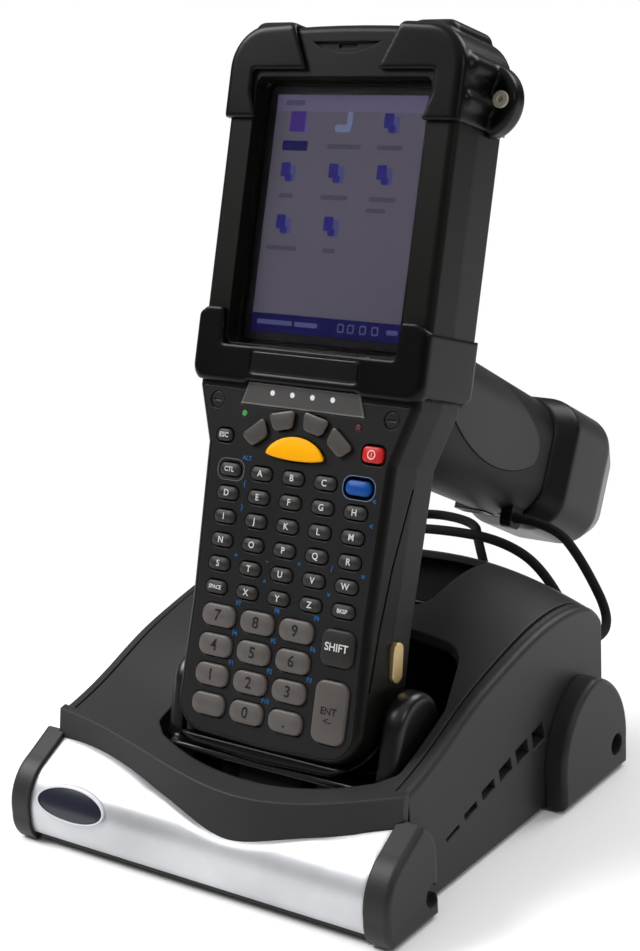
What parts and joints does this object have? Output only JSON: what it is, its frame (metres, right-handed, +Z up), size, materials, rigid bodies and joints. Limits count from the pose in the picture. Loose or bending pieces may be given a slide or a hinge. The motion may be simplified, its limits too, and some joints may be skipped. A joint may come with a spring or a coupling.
{
  "type": "portable barcode data terminal",
  "caption": "Rugged pistol-grip data terminal with keypad and display, standing in a desktop charging cradle with a spare battery well and a wrist lanyard.",
  "frame": {"origin": "on the desk under the middle of the cradle", "axes": "+X to the right seen from the front, +Y to the back, +Z up"},
  "size_m": [0.156, 0.2428, 0.2636],
  "materials": {
    "cradle_shell": "satin dark grey, fine grain",
    "front_metal": "satin silver",
    "badge_plastic": "dark with a pale rim",
    "foot_rubber": "matt black",
    "circuit_board": "green board",
    "contact_plastic": "black",
    "housing_plastic": "dark olive grey, fine grain",
    "bumper_rubber": "soft black",
    "display_glass": "clear",
    "display_module": "lit pale blue-grey",
    "nameplate_plastic": "plain dark",
    "keypad_face": "near black",
    "clear_lens": "clear",
    "light_guide": "pale red",
    "engine_metal": "dark",
    "brass_contact": "bright",
    "steel_parts": "dark steel",
    "grip_rubber": "soft dark grey",
    "grip_smooth": "smooth mid grey",
    "cord_fabric": "black braid",
    "trigger_plastic": "black",
    "battery_plastic": "dark grey",
    "letter_key_rubber": "dark grey with pale letters",
    "number_key_rubber": "warm pale grey with dark figures",
    "escape_key_plastic": "satin",
    "red_key": "red",
    "blue_key": "blue",
    "amber_key": "amber",
    "app_key_plastic": "smoky grey brown"
  },
  "bodies": {
    "cradle": {"cradle_base": "cradle_shell", "cradle_cover": "cradle_shell", "front_panel": "front_metal", "front_badge": "badge_plastic", "end_caps": "cradle_shell", "cradle_feet": "foot_rubber", "cradle_board": "circuit_board", "pocket_well": "cradle_shell", "contact_block": "contact_plastic", "spare_well": "cradle_shell", "rear_sockets": "contact_plastic"},
    "terminal": {"front_housing": "housing_plastic", "rear_housing": "housing_plastic", "touch_panel": "display_glass", "lcd_module": "display_module", "bumper_upper_left": "bumper_rubber", "bumper_upper_right": "bumper_rubber", "bumper_lower": "bumper_rubber", "nameplate": "nameplate_plastic", "keypad_plate": "keypad_face", "indicator_lens": "clear_lens", "status_lights": "light_guide", "key_mat": "foot_rubber", "main_board": "circuit_board", "scan_engine": "engine_metal", "scan_window": "clear_lens", "bottom_shoe": "foot_rubber", "side_contacts": "brass_contact", "housing_screws": "steel_parts", "grip_shell": "housing_plastic", "grip_sleeve": "grip_rubber", "grip_inlays": "grip_smooth", "trigger_pin": "steel_parts", "trigger_spring": "steel_parts", "dock_connector": "contact_plastic", "lanyard": "cord_fabric"},
    "trigger": {"trigger": "trigger_plastic"},
    "battery_pack": {"battery_pack": "battery_plastic"},
    "battery_latch": {"battery_latch": "trigger_plastic"},
    "letter_row_abc": {"letter_row_abc": "letter_key_rubber"},
    "letter_row_defgh": {"letter_row_defgh": "letter_key_rubber"},
    "letter_row_ijklm": {"letter_row_ijklm": "letter_key_rubber"},
    "letter_row_nopqr": {"letter_row_nopqr": "letter_key_rubber"},
    "letter_row_stuvw": {"letter_row_stuvw": "letter_key_rubber"},
    "letter_row_xyz": {"letter_row_xyz": "letter_key_rubber"},
    "number_row_789": {"number_row_789": "number_key_rubber"},
    "number_row_456": {"number_row_456": "number_key_rubber"},
    "number_row_123": {"number_row_123": "number_key_rubber"},
    "number_row_zero": {"number_row_zero": "number_key_rubber"},
    "escape_key": {"escape_key": "escape_key_plastic"},
    "power_key": {"power_key": "red_key"},
    "control_key": {"control_key": "letter_key_rubber"},
    "function_key": {"function_key": "blue_key"},
    "shift_key": {"shift_key": "letter_key_rubber"},
    "enter_key": {"enter_key": "number_key_rubber"},
    "scan_key": {"scan_key": "amber_key"},
    "app_key_1": {"app_key_1": "app_key_plastic"},
    "app_key_2": {"app_key_2": "app_key_plastic"},
    "app_key_3": {"app_key_3": "app_key_plastic"},
    "app_key_4": {"app_key_4": "app_key_plastic"}
  },
  "joints": [
    {"name": "terminal_lift", "type": "slide", "parent": "cradle", "child": "terminal", "axis": [0, 0.2965, 0.955], "range_m": [0, 0.12]},
    {"name": "letter_row_abc_press", "type": "slide", "parent": "terminal", "child": "letter_row_abc", "axis": [0, 0.955, -0.2965], "range_m": [0, 0.0008], "stiffness_N_per_m": 900},
    {"name": "letter_row_defgh_press", "type": "slide", "parent": "terminal", "child": "letter_row_defgh", "axis": [0, 0.955, -0.2965], "range_m": [0, 0.0008], "stiffness_N_per_m": 900},
    {"name": "letter_row_ijklm_press", "type": "slide", "parent": "terminal", "child": "letter_row_ijklm", "axis": [0, 0.955, -0.2965], "range_m": [0, 0.0008], "stiffness_N_per_m": 900},
    {"name": "letter_row_nopqr_press", "type": "slide", "parent": "terminal", "child": "letter_row_nopqr", "axis": [0, 0.955, -0.2965], "range_m": [0, 0.0008], "stiffness_N_per_m": 900},
    {"name": "letter_row_stuvw_press", "type": "slide", "parent": "terminal", "child": "letter_row_stuvw", "axis": [0, 0.955, -0.2965], "range_m": [0, 0.0008], "stiffness_N_per_m": 900},
    {"name": "letter_row_xyz_press", "type": "slide", "parent": "terminal", "child": "letter_row_xyz", "axis": [0, 0.955, -0.2965], "range_m": [0, 0.0008], "stiffness_N_per_m": 900},
    {"name": "number_row_789_press", "type": "slide", "parent": "terminal", "child": "number_row_789", "axis": [0, 0.955, -0.2965], "range_m": [0, 0.0008], "stiffness_N_per_m": 900},
    {"name": "number_row_456_press", "type": "slide", "parent": "terminal", "child": "number_row_456", "axis": [0, 0.955, -0.2965], "range_m": [0, 0.0008], "stiffness_N_per_m": 900},
    {"name": "number_row_123_press", "type": "slide", "parent": "terminal", "child": "number_row_123", "axis": [0, 0.955, -0.2965], "range_m": [0, 0.0008], "stiffness_N_per_m": 900},
    {"name": "number_row_zero_press", "type": "slide", "parent": "terminal", "child": "number_row_zero", "axis": [0, 0.955, -0.2965], "range_m": [0, 0.0008], "stiffness_N_per_m": 900},
    {"name": "escape_key_press", "type": "slide", "parent": "terminal", "child": "escape_key", "axis": [0, 0.955, -0.2965], "range_m": [0, 0.0008], "stiffness_N_per_m": 900},
    {"name": "power_key_press", "type": "slide", "parent": "terminal", "child": "power_key", "axis": [0, 0.955, -0.2965], "range_m": [0, 0.0008], "stiffness_N_per_m": 900},
    {"name": "control_key_press", "type": "slide", "parent": "terminal", "child": "control_key", "axis": [0, 0.955, -0.2965], "range_m": [0, 0.0008], "stiffness_N_per_m": 900},
    {"name": "function_key_press", "type": "slide", "parent": "terminal", "child": "function_key", "axis": [0, 0.955, -0.2965], "range_m": [0, 0.0008], "stiffness_N_per_m": 900},
    {"name": "shift_key_press", "type": "slide", "parent": "terminal", "child": "shift_key", "axis": [0, 0.955, -0.2965], "range_m": [0, 0.0008], "stiffness_N_per_m": 900},
    {"name": "enter_key_press", "type": "slide", "parent": "terminal", "child": "enter_key", "axis": [0, 0.955, -0.2965], "range_m": [0, 0.0008], "stiffness_N_per_m": 900},
    {"name": "scan_key_press", "type": "slide", "parent": "terminal", "child": "scan_key", "axis": [0, 0.955, -0.2965], "range_m": [0, 0.0008], "stiffness_N_per_m": 900},
    {"name": "app_key_1_press", "type": "slide", "parent": "terminal", "child": "app_key_1", "axis": [0, 0.955, -0.2965], "range_m": [0, 0.0008], "stiffness_N_per_m": 900},
    {"name": "app_key_2_press", "type": "slide", "parent": "terminal", "child": "app_key_2", "axis": [0, 0.955, -0.2965], "range_m": [0, 0.0008], "stiffness_N_per_m": 900},
    {"name": "app_key_3_press", "type": "slide", "parent": "terminal", "child": "app_key_3", "axis": [0, 0.955, -0.2965], "range_m": [0, 0.0008], "stiffness_N_per_m": 900},
    {"name": "app_key_4_press", "type": "slide", "parent": "terminal", "child": "app_key_4", "axis": [0, 0.955, -0.2965], "range_m": [0, 0.0008], "stiffness_N_per_m": 900},
    {"name": "trigger_pull", "type": "hinge", "parent": "terminal", "child": "trigger", "pos_m": [0.014, 0.03225, 0.18213], "axis": [-1, 0, 0], "range_deg": [0, 7], "stiffness_Nm_per_rad": 0.6},
    {"name": "battery_slide", "type": "slide", "parent": "terminal", "child": "battery_pack", "axis": [0, 0.885, -0.4656], "range_m": [0, 0.1]},
    {"name": "battery_latch_press", "type": "slide", "parent": "terminal", "child": "battery_latch", "axis": [0, 0.4656, 0.885], "range_m": [0, 0.0012], "stiffness_N_per_m": 1500}
  ]
}
